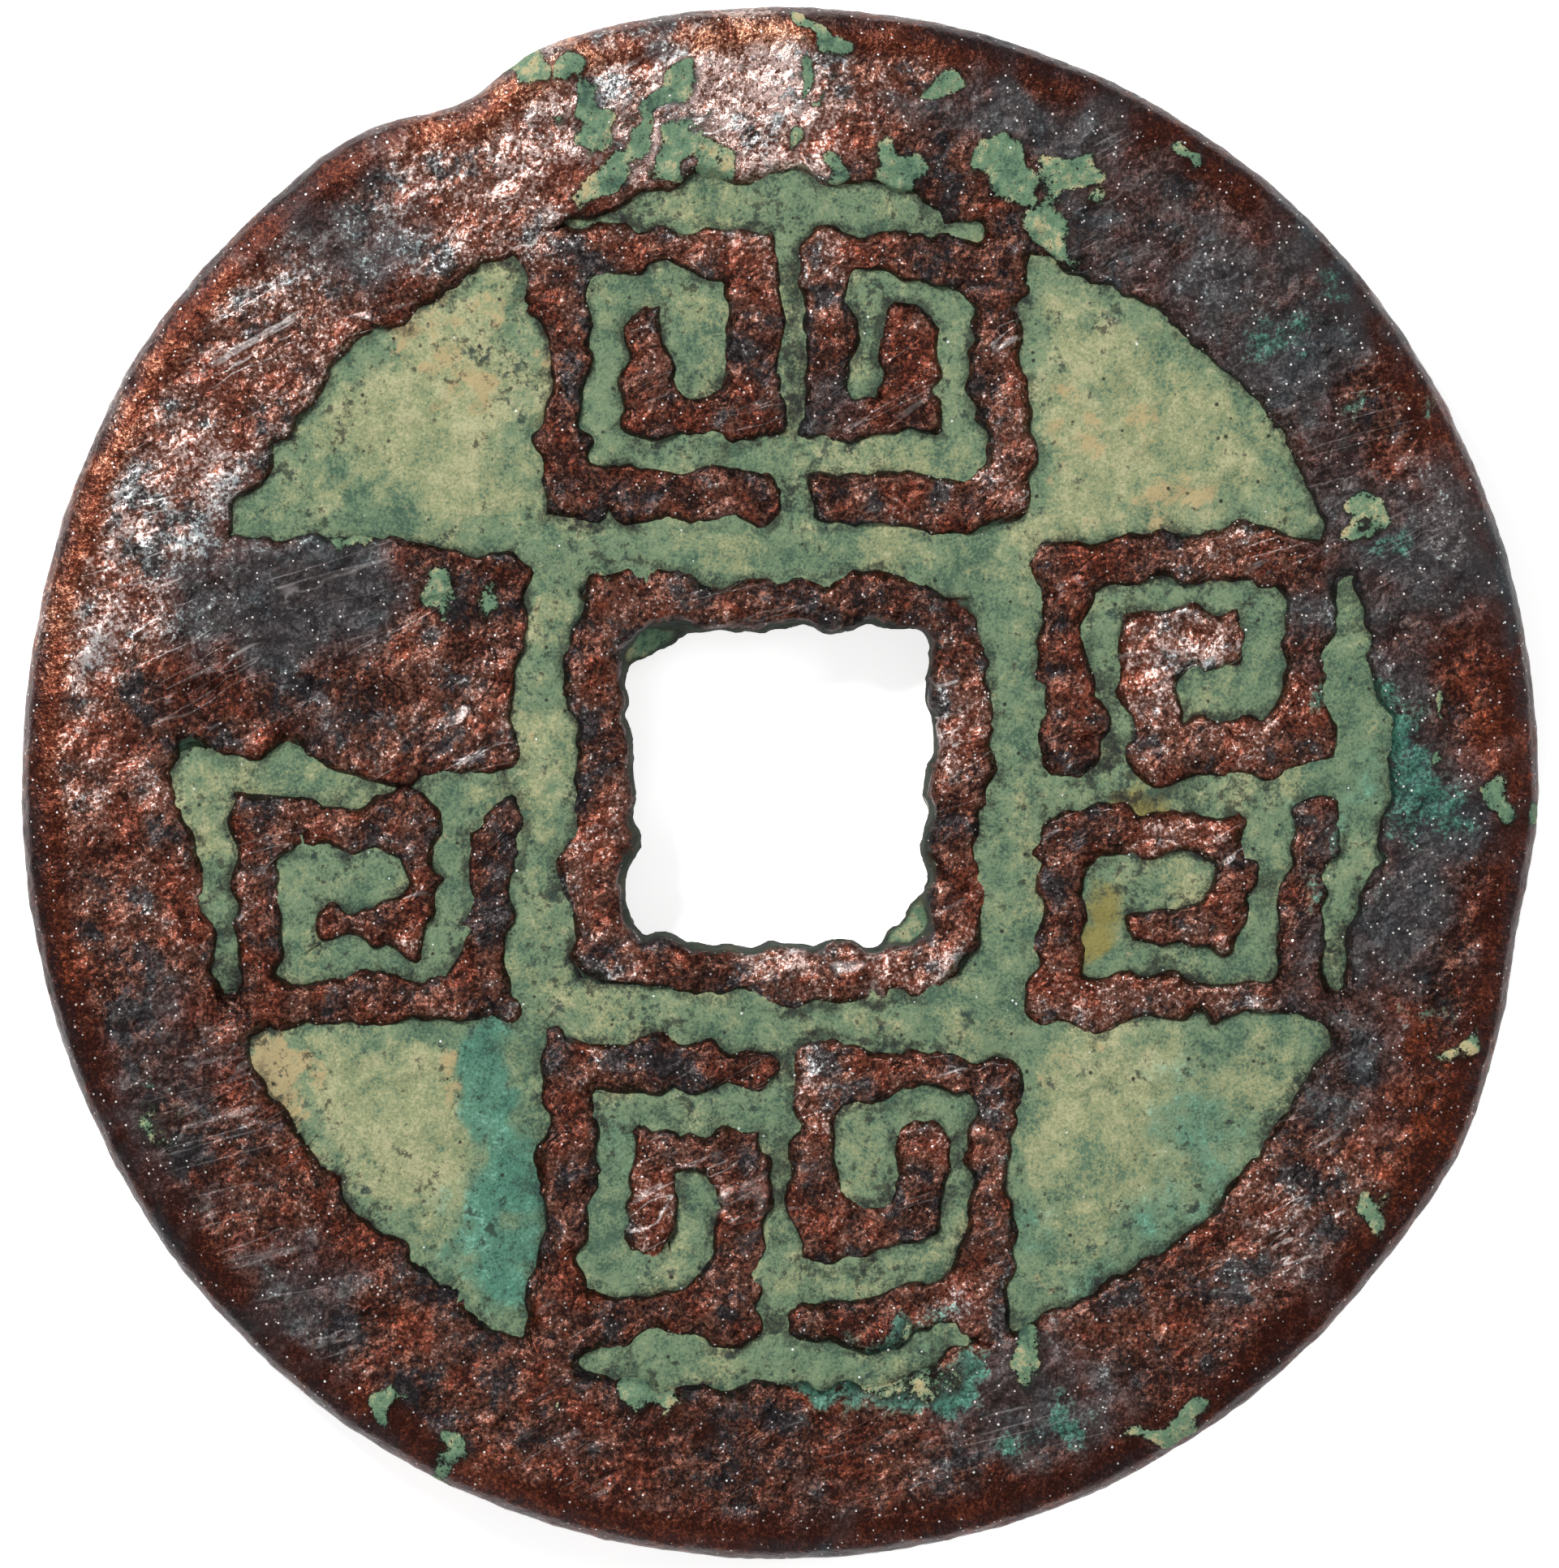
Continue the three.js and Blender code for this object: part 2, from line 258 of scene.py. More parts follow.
lift = np.abs(points[:, 2] - middle_mm)
web_lift = np.where(points[:, 2] > middle_mm, web_front_mm - middle_mm, middle_mm - web_back_mm)
rim_lift = np.where(points[:, 2] > middle_mm, top_mm - middle_mm, middle_mm)
radius = radius_of(points)
turn = ((np.degrees(np.arctan2(points[:, 1], points[:, 0])) + 360) % 360).astype(int) % 360
outline = np.zeros(360)
np.maximum.at(outline, turn, radius)
to_edge = outline[turn] - radius
off_edge = ramp(to_edge, *OFF_EDGE_MM)
height = np.clip((lift - web_lift) / (rim_lift - web_lift), 0.0, HIGHEST)
height = height * off_edge + 1 - off_edge
hollow = (average(mesh, lift, HOLLOW_PASSES) - lift) * off_edge / HOLLOW_UNIT_MM
in_hole = 1 - ramp(square_radius(points), *HOLE_WALL_MM)
steep = average(mesh, ramp(1 - np.abs(normals[:, 2]), *STEEP), 2) * off_edge
print("height", round(height.min(), 2), round(height.max(), 2), "hollow", round(hollow.max(), 2))

# %% [markdown]
# The patina isn't even either. Slate tarnish, turquoise, red oxide, polished metal with painted
# glare, and crust each lie in blotches whose places, in millimetres from the middle, follow the
# photograph: x, y, reach and strength. Noise bends the blotches so that none is round. The back gets
# them a quarter turned, and the two sides run into each other half way down the edge.

# %% Blotches of the patina
SLATE_SPOTS = (
    (-7.0, 8.9, 1.4, 0.8), (-8.3, 3.1, 1.9, 1.0), (-8.9, 4.3, 1.0, 0.6), (2.6, 11.0, 0.9, 0.8),
    (3.8, 11.1, 1.0, 1.0), (4.9, 10.7, 0.9, 0.8), (5.8, 9.2, 1.4, 0.7), (7.2, 8.2, 1.4, 0.8),
    (8.6, 6.8, 1.3, 0.9), (9.1, 5.1, 1.2, 0.8), (10.3, 3.2, 1.5, 1.0), (10.0, 1.3, 1.2, 0.8),
    (10.2, -0.8, 1.7, 1.0), (9.8, -2.6, 1.4, 0.9), (9.2, -4.2, 1.3, 0.7), (-9.7, -4.8, 1.3, 0.7),
    (-9.9, -6.4, 1.0, 0.7), (-7.9, -8.8, 1.2, 0.7), (3.6, -9.8, 1.4, 0.8), (5.3, -9.9, 1.2, 0.7),
    (-0.9, 3.6, 0.8, 0.8), (-1.9, 12.1, 0.6, 0.9), (1.0, 6.0, 1.1, 0.7), (8.4, -8.2, 1.2, 0.5),
    (0.4, -12.0, 0.9, 0.6), (-3.4, -10.2, 0.9, 0.35),
)
TURQUOISE_SPOTS = (
    (10.0, -0.4, 1.2, 1.0), (9.2, 0.6, 0.7, 0.8), (8.8, -1.6, 0.7, 0.6), (10.0, 5.9, 0.5, 0.8),
    (8.5, 7.2, 0.6, 0.6), (9.8, 3.7, 0.5, 0.7), (0.6, -9.5, 0.6, 0.9), (1.5, -9.4, 0.6, 0.9),
    (2.4, -9.4, 0.6, 0.9), (5.0, -10.0, 0.6, 0.8), (3.7, -10.3, 0.5, 0.6), (-9.6, -5.2, 0.5, 0.5),
    (10.9, -4.0, 0.4, 0.6), (-7.2, 8.9, 0.5, 0.4),
)
OXIDE_SPOTS = (
    (10.9, -5.2, 1.3, 1.0), (10.4, -6.3, 0.8, 0.7), (10.9, 4.6, 1.0, 0.8), (11.8, 2.2, 1.0, 1.0),
    (12.0, 0.6, 0.8, 1.0), (12.0, -1.4, 0.8, 1.0), (6.4, 11.0, 1.0, 0.7), (4.6, 11.9, 0.8, 0.7),
    (-11.1, -4.8, 1.1, 0.8), (-11.6, -2.6, 0.8, 0.7), (-2.9, 5.9, 1.3, 0.6), (-4.8, 2.2, 1.3, 0.5),
    (7.6, 6.1, 0.8, 0.6), (0.6, -11.2, 1.6, 0.5), (-3.6, -10.8, 1.8, 0.5), (6.4, -8.6, 1.2, 0.5),
    (-6.4, -9.6, 1.3, 0.4), (-10.4, -3.2, 1.0, 0.5),
)
# Polished spots, partly painted glare: they smooth the metal and also paint its colour lighter and
# pinker where highlights fall.
POLISH_AND_GLARE_SPOTS = (
    (-2.4, 11.6, 1.5, 1.0), (1.0, 11.5, 1.3, 0.7), (-4.6, 10.5, 1.7, 0.9), (-10.2, 5.3, 2.0, 0.8),
    (-11.0, 3.1, 1.6, 0.8), (-8.3, 6.9, 1.7, 0.7), (-11.4, 0.4, 1.4, 0.6), (-10.6, -1.6, 1.2, 0.3),
    (6.9, 1.8, 1.4, 0.6), (2.9, 1.4, 0.8, 0.7), (0.4, -2.9, 1.1, 0.9), (1.9, -2.9, 0.8, 0.6),
    (-6.5, 5.5, 1.1, 0.6), (-5.9, 9.3, 1.3, 0.5), (8.6, -6.9, 1.4, 0.35), (6.9, -3.4, 1.2, 0.4),
    (7.9, 0.3, 1.2, 0.3), (4.4, 6.6, 1.0, 0.3), (-1.0, 11.1, 2.0, 1.3), (-3.2, 11.5, 1.0, 1.6),
    (-2.6, 8.6, 1.0, 0.4), (0.6, 8.9, 0.9, 0.4), (4.4, 5.2, 1.0, 0.5), (6.6, -0.6, 1.0, 0.6),
    (7.4, 4.2, 0.9, 0.5), (-3.4, -4.0, 0.9, 0.5), (0.6, -4.2, 1.0, 0.5), (3.2, -5.4, 0.9, 0.4),
    (-1.6, -7.0, 0.8, 0.4), (2.9, -8.6, 1.0, 0.35), (-5.2, 1.2, 1.0, 0.35), (-6.6, -1.6, 1.0, 0.3),
    (-2.9, -0.6, 0.8, 0.4), (-2.9, -2.2, 0.8, 0.4), (5.6, -3.5, 1.0, 0.4),
)
CARBONATE_SPOTS = (
    (-3.7, 11.4, 0.4, 1.0), (-2.9, 11.1, 0.35, 1.0), (-1.7, 11.3, 0.3, 1.0), (-2.4, 10.1, 0.55, 1.0),
    (-1.8, 10.7, 0.35, 1.0), (-1.1, 9.9, 0.45, 1.0), (0.7, 11.6, 0.25, 0.9), (0.1, 11.3, 0.2, 0.8),
    (2.3, 11.7, 0.25, 0.9), (0.7, 10.3, 0.3, 1.0), (3.6, 9.9, 0.5, 1.0), (4.3, 9.2, 0.6, 1.0),
    (4.8, 10.0, 0.35, 0.9), (2.0, 9.6, 0.5, 1.0), (-4.9, 4.4, 0.5, 0.9), (-7.3, 4.1, 0.3, 0.7),
    (-5.6, 2.9, 0.45, 0.9), (-3.2, 3.7, 0.4, 0.9), (6.5, 10.3, 0.25, 0.8), (11.0, 0.5, 0.25, 0.8),
    (11.8, -0.4, 0.4, 1.0), (9.8, -7.1, 0.35, 0.9), (6.6, -10.1, 0.4, 0.9), (-6.0, -9.6, 0.3, 0.9),
    (-1.6, -9.6, 0.4, 0.8), (-5.0, -10.9, 0.3, 0.7), (1.9, -9.3, 0.4, 0.6), (11.3, -4.7, 0.3, 0.7),
    (-9.6, -6.0, 0.35, 0.5), (9.4, 4.4, 0.3, 0.7), (-3.4, -9.9, 0.25, 0.6), (3.9, -9.0, 0.5, 0.9),
)
METAL_SPOTS = {
    "slate": SLATE_SPOTS,
    "turquoise": TURQUOISE_SPOTS,
    "oxide": OXIDE_SPOTS,
    "polish": POLISH_AND_GLARE_SPOTS,
    "carbonate": CARBONATE_SPOTS,
}
BEND_MM = ((2.2, 0.9), (0.8, 0.6), (0.35, 0.3))
BLEND_LENGTH_MM = 0.9
BLEND_MM = 0.35


def bent(points):
    moved = points.copy()
    for seed, (wavelength, reach) in enumerate(BEND_MM):
        moved[:, 0] += ripple(points, wavelength, seed + 21) * reach
        moved[:, 1] += ripple(points, wavelength, seed + 31) * reach
    return moved


def blotches(places, spots):
    share = np.zeros(len(places))
    for x, y, reach, strength in spots:
        away = np.hypot(places[:, 0] - x, places[:, 1] - y) / reach
        share = np.maximum(share, strength * np.clip(1.5 - away, 0.0, 1.0))
    return share


places = bent(points)
turned = np.stack([places[:, 1], -places[:, 0]], axis=1)
uneven_z = points[:, 2] + ripple(points, BLEND_LENGTH_MM, seed=51, octaves=2) * BLEND_MM
behind = 1 - ramp(uneven_z, middle_mm - BLEND_MM, middle_mm + BLEND_MM)
marks = {}
for name, spots in METAL_SPOTS.items():
    marks[name] = blotches(places, spots) * (1 - behind) + blotches(turned, spots) * behind
    print(name, "covers", round(float((marks[name] > 0.5).mean()) * 100, 1), "%")

# %% [markdown]
# Now the thickness of the crust on the rim can be real: the metal is worn down and the crust
# stays. The back rim still stands on the table and nothing passes the top of the coin.

# %% Settle the casting
BACK_SPARED = 0.7
CRUST_STAYS = (0.3, 0.6)

facing = np.abs(normals[:, 2])
crusted = ramp(marks["carbonate"], *CRUST_STAYS)
worn_off = WORN_OFF_MM * facing * (1 - crusted) * (1 - BACK_SPARED * behind)
points -= normals * worn_off[:, None]
points[:, 2] = np.clip(points[:, 2], 0.0, top_mm)
write_points(mesh, points, MM)
mesh.polygons.foreach_set("use_smooth", [True] * len(mesh.polygons))
marks.update(height=height, hollow=hollow, steep=steep)
marks.update(to_edge=to_edge, behind=behind, in_hole=in_hole)
for name, values in marks.items():
    keep(casting, name, values)
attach(casting, "root")
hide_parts("cast_body")

# %% [markdown]
# A crust is chalky matter that grew in its pocket, so it reaches the walls, sinks a little beside
# them and swells in the middle. Each CAD crust keeps its own piece. It grows sideways over the
# clearance that the CAD leaves, drifts as the metal does, and its top gets lumps and pits.

# %% Crust skins
GROW_MM = 0.42
CREVICE_GAPS_MM = (0.02, 0.2)
CREVICE_MM = 0.03
DOME_GAPS_MM = (0.2, 1.4)
DOME_MM = 0.02
LUMP_LENGTH_MM = 1.1
LUMP_MM = 0.06
CRUMB_LENGTH_MM = 0.3
CRUMB_MM = 0.06
UNDER_RIM_MM = 0.02
WALL_LEANS = 0.75
WALL_FOOT_MM = 0.06
WALL_REACH_MM = 0.7

leaning = (np.abs(normals[:, 2]) < WALL_LEANS) & (points[:, 2] > web_front_mm + WALL_FOOT_MM)
walls = points[leaning & (radius_of(points) < field_radius_mm + WALL_REACH_MM)]
tree = kdtree.KDTree(len(walls))
for index, (x, y) in enumerate(walls[:, :2].tolist()):
    tree.insert((x, y, 0.0), index)
tree.balance()
print("wall points", len(walls))

CRUST_TEAL_SPOTS = (
    (-4.5, -4.6, 0.8, 1.0), (-4.6, -5.6, 0.8, 1.0), (-4.5, -6.6, 0.8, 1.0), (-4.6, -7.6, 0.9, 1.0),
    (-5.4, -7.7, 0.8, 0.7), (6.9, -5.0, 1.2, 0.7), (6.3, -6.9, 1.1, 0.6), (4.4, -7.0, 0.7, 0.7),
    (7.4, -5.6, 0.9, 0.6), (2.0, -8.7, 1.0, 0.5), (-2.6, -6.4, 0.8, 0.5), (5.6, -8.0, 0.8, 0.6),
    (8.8, -0.6, 0.8, 0.6), (9.3, 2.4, 0.7, 0.4),
)
CRUST_TAN_SPOTS = (
    (-5.8, 7.3, 1.0, 0.9), (-4.9, 7.0, 0.8, 0.8), (-6.9, 6.0, 0.6, 0.6), (5.5, 5.9, 1.0, 0.6),
    (6.1, 4.8, 0.7, 0.5), (-7.9, -5.0, 0.8, 1.0), (-5.5, -4.7, 0.5, 1.0), (-8.9, 0.4, 0.5, 0.3),
    (5.0, -4.6, 0.8, 0.5), (-3.7, 0.6, 0.5, 0.3), (2.0, 7.2, 0.6, 0.6),
)
CRUST_OLIVE_SPOTS = (
    (7.1, 3.6, 0.6, 1.0), (5.9, -0.4, 0.7, 1.0), (4.8, -2.3, 0.6, 0.9), (-2.4, 10.1, 0.6, 0.8),
)
CRUST_PALE_SPOTS = (
    (-5.2, 6.3, 2.0, 1.0), (5.8, 6.6, 2.4, 1.0), (-6.5, -5.6, 1.4, 0.9), (-9.2, -0.6, 1.4, 0.8),
    (-3.8, 1.0, 1.0, 0.8), (-1.9, 4.2, 0.8, 0.8), (2.2, 4.4, 1.0, 0.7), (5.2, 3.6, 0.9, 0.7),
    (5.2, -4.5, 1.2, 0.8),
)
CRUST_SPOTS = {
    "teal": CRUST_TEAL_SPOTS,
    "tan": CRUST_TAN_SPOTS,
    "olive": CRUST_OLIVE_SPOTS,
    "pale": CRUST_PALE_SPOTS,
}


def crust_skin(name):
    piece = fine_skin(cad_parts[name], CRUST_CELL_MM, name.replace("crust_", "") + "_deposit")
    points = read_points(piece.data)
    points[:, :2] += read_normals(piece.data)[:, :2] * GROW_MM
    points = drift(points)
    gap = np.array([tree.find((x, y, 0.0))[2] for x, y in points[:, :2].tolist()])
    upper = ramp(points[:, 2], web_front_mm + 0.08, crust_top_mm - 0.04)
    shape = ramp(gap, *DOME_GAPS_MM) * DOME_MM - (1 - ramp(gap, *CREVICE_GAPS_MM)) * CREVICE_MM
    shape += ripple(points, LUMP_LENGTH_MM, seed=41, octaves=2) * LUMP_MM
    shape += ripple(points, CRUMB_LENGTH_MM, seed=42, octaves=3) * CRUMB_MM
    points[:, 2] = np.minimum(points[:, 2] + shape * upper, top_mm - UNDER_RIM_MM)
    places = bent(points)
    write_points(piece.data, points, MM)
    piece.data.polygons.foreach_set("use_smooth", [True] * len(piece.data.polygons))
    keep(piece, "gap", gap)
    for mark, spots in CRUST_SPOTS.items():
        keep(piece, mark, blotches(places, spots))
    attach(piece, "root")
    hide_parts(name)
    return piece


deposits = [crust_skin(name) for name in sorted(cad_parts) if name.startswith("crust_")]
print(len(deposits), "crusts with", sum(len(piece.data.polygons) for piece in deposits), "faces")

# %% [markdown]
# A finish is a small sum of noises. These two helpers let that sum be written as arithmetic:
# one wraps a socket so that it adds and multiplies, the other makes any other node.

# %% Shader helpers
class Value:
    def __init__(self, finish, socket):
        self.finish = finish
        self.socket = socket

    def maths(self, kind, first, second=0.0, clamp=False):
        settings = {"operation": kind, "use_clamp": clamp}
        made = self.finish.node("ShaderNodeMath", settings, {0: first, 1: second})
        return Value(self.finish, made.outputs[0])

    def __add__(self, other):
        return self.maths("ADD", self, other)

    __radd__ = __add__

    def __mul__(self, other):
        return self.maths("MULTIPLY", self, other)

    __rmul__ = __mul__

    def __sub__(self, other):
        return self.maths("SUBTRACT", self, other)

    def __rsub__(self, other):
        return self.maths("SUBTRACT", other, self)

    def size(self):
        return self.maths("ABSOLUTE", self)

    def clamp(self):
        return self.maths("ADD", self, 0.0, True)

    def step(self, low, high):
        settings = {"interpolation_type": "SMOOTHSTEP"}
        made = self.finish.node("ShaderNodeMapRange", settings, {0: self, 1: low, 2: high})
        return Value(self.finish, made.outputs[0])


class Finish:
    def __init__(self, name):
        self.material = bpy.data.materials.new(name)
        self.material.use_nodes = True
        self.tree = self.material.node_tree
        self.shader = self.tree.nodes["Principled BSDF"]
        self.place = self.node("ShaderNodeNewGeometry", {}, {}).outputs["Position"]

    def put(self, socket, value):
        if isinstance(value, Value):
            self.tree.links.new(value.socket, socket)
        elif isinstance(value, bpy.types.NodeSocket):
            self.tree.links.new(value, socket)
        else:
            socket.default_value = value

    def node(self, kind, settings, values):
        made = self.tree.nodes.new(kind)
        for key, setting in settings.items():
            setattr(made, key, setting)
        for key, value in values.items():
            self.put(made.inputs[key], value)
        return made

    def noise(self, wavelength_mm, detail=5.0, rough=0.6, shift=0.0, place=None):
        values = {"Scale": 1 / (wavelength_mm * MM), "Detail": detail, "Roughness": rough, "W": shift}
        values["Vector"] = place or self.place
        made = self.node("ShaderNodeTexNoise", {"noise_dimensions": "4D"}, values)
        return Value(self, made.outputs["Fac"])

    def dots(self, apart_mm, radius_mm, share, shift=0.0):
        values = {"Vector": self.place, "Scale": 1 / (apart_mm * MM), "W": shift}
        made = self.node("ShaderNodeTexVoronoi", {"voronoi_dimensions": "4D"}, values)
        near = Value(self, made.outputs["Distance"])
        chosen = Value(self, made.outputs["Color"]).step(1 - share - 0.02, 1 - share)
        return (1 - near.step(radius_mm / apart_mm * 0.6, radius_mm / apart_mm)) * chosen

    def scratches(self, turn, apart_mm, shift):
        settings = {"vector_type": "TEXTURE"}
        values = {"Vector": self.place, "Rotation": (0, 0, turn), "Scale": (1.0, 22.0, 1.0)}
        along = self.node("ShaderNodeMapping", settings, values).outputs["Vector"]
        line = 1 - ((self.noise(apart_mm, 1.0, 0.5, shift, along) - 0.5).size()).step(0.0, 0.015)
        return line * self.noise(2.2, 4.0, 0.6, shift + 3.0).step(0.54, 0.6)

    def attribute(self, name):
        made = self.node("ShaderNodeAttribute", {"attribute_name": name}, {})
        return Value(self, made.outputs["Fac"])

    def tones(self, level, low, high, dark, plain, light):
        lower = self.mix(level.step(low, (low + high) / 2), dark, plain)
        return self.mix(level.step((low + high) / 2, high), lower, light)

    def mix(self, share, first, second):
        made = self.node("ShaderNodeMix", {"data_type": "RGBA"}, {0: share, 6: first, 7: second})
        return made.outputs[2]

    def bump(self, heights, depth_mm, under=None):
        values = {"Height": heights, "Distance": depth_mm * MM, "Strength": 1.0}
        if under is not None:
            values["Normal"] = under
        return self.node("ShaderNodeBump", {}, values).outputs["Normal"]

    def set(self, **sockets):
        for name, value in sockets.items():
            self.put(self.shader.inputs[name.replace("_", " ")], value)


# %% [markdown]
# Worn red copper is not one colour. It runs from pinkish metal polished by hands, through
# reddish brown, to slate and dark teal where it has tarnished, with orange-red oxide at the edge
# and pale green carbonate wherever the field is deep enough to hold it. Everything is broken up
# by specks a tenth of a millimetre across, so each blotch is cut with finer noise. The pink tops
# of the specks, the near-white dots and the scratch lines are painted highlights, and hollows,
# flanks and crevices are painted darker as painted shade.

# %% Colours
BROWN_DARK = (0.022, 0.009, 0.007, 1)
BROWN = (0.15, 0.058, 0.037, 1)
RUST_DARK = (0.03, 0.008, 0.005, 1)
RUST = (0.19, 0.042, 0.02, 1)
PINK_SHEEN = (0.7, 0.51, 0.46, 1)
SLATE_DARK = (0.014, 0.015, 0.018, 1)
SLATE = (0.045, 0.056, 0.06, 1)
SLATE_PALE = (0.42, 0.5, 0.52, 1)
OXIDE_DARK = (0.045, 0.01, 0.005, 1)
OXIDE = (0.23, 0.045, 0.013, 1)
OXIDE_PALE = (0.55, 0.24, 0.14, 1)
BLOOD_DARK = (0.03, 0.006, 0.003, 1)
BLOOD = (0.11, 0.024, 0.01, 1)
TURQUOISE_DARK = (0.012, 0.055, 0.045, 1)
TURQUOISE_GREEN = (0.055, 0.2, 0.14, 1)
TURQUOISE_PALE = (0.18, 0.48, 0.37, 1)
SAGE = (0.255, 0.285, 0.145, 1)
SAGE_PALE = (0.415, 0.405, 0.23, 1)
MOSS = (0.095, 0.165, 0.1, 1)
VERDIGRIS = (0.118, 0.208, 0.12, 1)
VERDIGRIS_DARK = (0.03, 0.075, 0.05, 1)
TAN = (0.44, 0.33, 0.165, 1)
OLIVE = (0.26, 0.2, 0.04, 1)
# Near black, used for real black specks and for painted shade in crevices, on flanks and on shaded
# walls.
SOOT_AND_SHADE = (0.01, 0.009, 0.007, 1)
PIT = (0.015, 0.036, 0.034, 1)
# Near-white for painted highlights: glint dots and scratch lines.
GLINT_WHITE = (0.93, 0.86, 0.83, 1)
WHITE_SPECK = (0.85, 0.86, 0.84, 1)

# %% Places of the patina
copper = Finish("patinated_copper")
middling = copper.noise(1.7, 5, 0.6, 3.0)
fine = copper.noise(0.4, 4, 0.65, 7.0)
grit = copper.noise(0.06, 3, 0.7, 11.0)
patch = copper.noise(0.75, 6, 0.72, 17.0)
high = copper.attribute("height")
hollow_here = copper.attribute("hollow")
steep_here = copper.attribute("steep")
ragged = (fine - 0.5) * 0.7 + (grit - 0.5) * 0.5

broad = copper.noise(3.2, 6, 0.65, 23.0) + (fine - 0.5) * 0.2
spared = copper.attribute("behind") * broad.step(0.46, 0.52)
bare_field = 1 - (high + spared + (middling - 0.5) * 0.6 + ragged).step(0.25, 0.5)
spread = copper.attribute("carbonate") + ragged * 1.5
over_rim = spread.step(0.5, 0.6)
crust_edge_shade = spread.step(0.2, 0.5)
greened = (bare_field + over_rim).clamp()
bare = 1 - greened
slate_here = (copper.attribute("slate") + (middling - 0.5) * 1.6 + ragged * 1.4).step(0.25, 1.0)
turquoise_here = (copper.attribute("turquoise") + (middling - 0.5) + ragged * 2.4).step(0.5, 1.0)
oxide_here = (copper.attribute("oxide") + (middling - 0.5) * 2.0 + ragged).step(0.55, 1.1)
from_edge = copper.attribute("to_edge") + (middling - 0.5) * 0.5 + ragged * 0.3
edge_band = 1 - from_edge.step(0.5, 0.85)
rolled = (1 - from_edge.step(0.1, 0.42)) * patch.step(0.4, 0.56)
flank = (steep_here + ragged * 0.5).step(0.2, 0.9)
polish_glare_here = copper.attribute("polish")
print("places found")

# %% Tones of the metal
# Painted sparkle and sheen: the top of the level is pink, standing in for lamp sparkle on polished
# copper grain; polished spots lift it further as painted glare.
level = grit * 0.55 + fine * 0.28 + middling * 0.17 + (polish_glare_here - 0.5) * 0.11
# Painted shade: hollows and steep flanks lower the level, so they are painted darker where shade
# falls on them.
level = level - hollow_here * 0.04 - flank * 0.03 - edge_band * 0.05
metal = copper.tones(level, 0.4, 0.62, BROWN_DARK, BROWN, PINK_SHEEN)
rust = copper.tones(level, 0.4, 0.64, RUST_DARK, RUST, PINK_SHEEN)
metal = copper.mix(patch.step(0.5, 0.58) * (0.85 - polish_glare_here * 0.45), metal, rust)
red = copper.tones(level, 0.4, 0.66, OXIDE_DARK, OXIDE, OXIDE_PALE)
slate = copper.tones(level, 0.42, 0.62, SLATE_DARK, SLATE, SLATE_PALE)
metal = copper.mix((1 - patch.step(0.4, 0.49)) * 0.8, metal, slate)
turquoise = copper.tones(level, 0.4, 0.64, TURQUOISE_DARK, TURQUOISE_GREEN, TURQUOISE_PALE)
blood = copper.tones(level, 0.36, 0.6, BLOOD_DARK, BLOOD, OXIDE_PALE)
metal = copper.mix(edge_band * 0.9, metal, blood)
metal = copper.mix(oxide_here * 0.8, metal, red)
metal = copper.mix((slate_here * 0.85 + rolled * 0.6).clamp(), metal, slate)
metal = copper.mix(turquoise_here * 0.9, metal, turquoise)
# Painted shade: steep flanks, in patches, and a ring round each crust on the rim are painted near
# black.
metal = copper.mix((flank * patch.step(0.38, 0.6) * 0.5 + crust_edge_shade * 0.55).clamp(), metal, SOOT_AND_SHADE)

green_level = fine * 0.35 + patch * 0.4 + grit * 0.25
green = copper.tones(green_level, 0.42, 0.58, VERDIGRIS_DARK, VERDIGRIS, SAGE_PALE)
green = copper.mix((patch * 0.6 + fine * 0.4).step(0.54, 0.6) * over_rim * 0.7, green, TAN)
green = copper.mix(grit.step(0.58, 0.66), green, SOOT_AND_SHADE)
# Painted shade: steep green walls, most of all those inside the hole, are painted near black.
dim = fine + patch + copper.attribute("in_hole") * 0.35
shaded = (steep_here * (1 - over_rim)).step(0.25, 0.9) * dim.step(0.8, 1.1)
green = copper.mix(shaded * 0.85, green, SOOT_AND_SHADE)
patina = copper.mix(greened, metal, green)
# Scratches are real wear; their near-white colour is a painted highlight along them, mostly on
# polished spots.
scratch_glint = (copper.scratches(-1.05, 0.35, 81.0) + copper.scratches(-1.3, 0.45, 91.0)).clamp()
scratch_glint = scratch_glint * bare * (1 - edge_band) * (0.1 + polish_glare_here * 0.8)
patina = copper.mix(scratch_glint.clamp(), patina, GLINT_WHITE)
# Painted highlights: near-white dots on the bare metal stand in for lamp glints, denser on polished
# and slate spots, with metallic lowered under them so they stay bright.
glint_share = 0.5 + polish_glare_here * 0.6 + slate_here * 0.3
painted_glint = (copper.dots(0.085, 0.023, 0.5, 21.0) * bare * glint_share).clamp()
patina = copper.mix(painted_glint, patina, GLINT_WHITE)
patina = copper.mix(copper.dots(0.17, 0.026, 0.3, 5.0), patina, WHITE_SPECK)

surface = copper.bump(high * 0.6 - hollow_here * 0.35, 0.2)
surface = copper.bump(fine + greened * 0.5, 0.06, surface)
surface = copper.bump(grit, 0.02, surface)
tarnished = (slate_here + turquoise_here + flank * 0.5).clamp()
copper.set(
    Base_Color=patina,
    Metallic=(bare * (0.85 - tarnished * 0.45) - painted_glint).clamp(),
    Roughness=(0.36 + greened * 0.54 + tarnished * 0.12 - polish_glare_here * 0.08).clamp(),
    Normal=surface,
)
casting.data.materials.clear()
casting.data.materials.append(copper.material)
print("copper finish has", len(copper.tree.nodes), "nodes")

# %% [markdown]
# The crusts are chalky carbonate mixed with earth: matte, mottled pale green and tan, greener
# beside the metal, with black specks of oxide and a broken dark line of painted shade where they meet
# it.

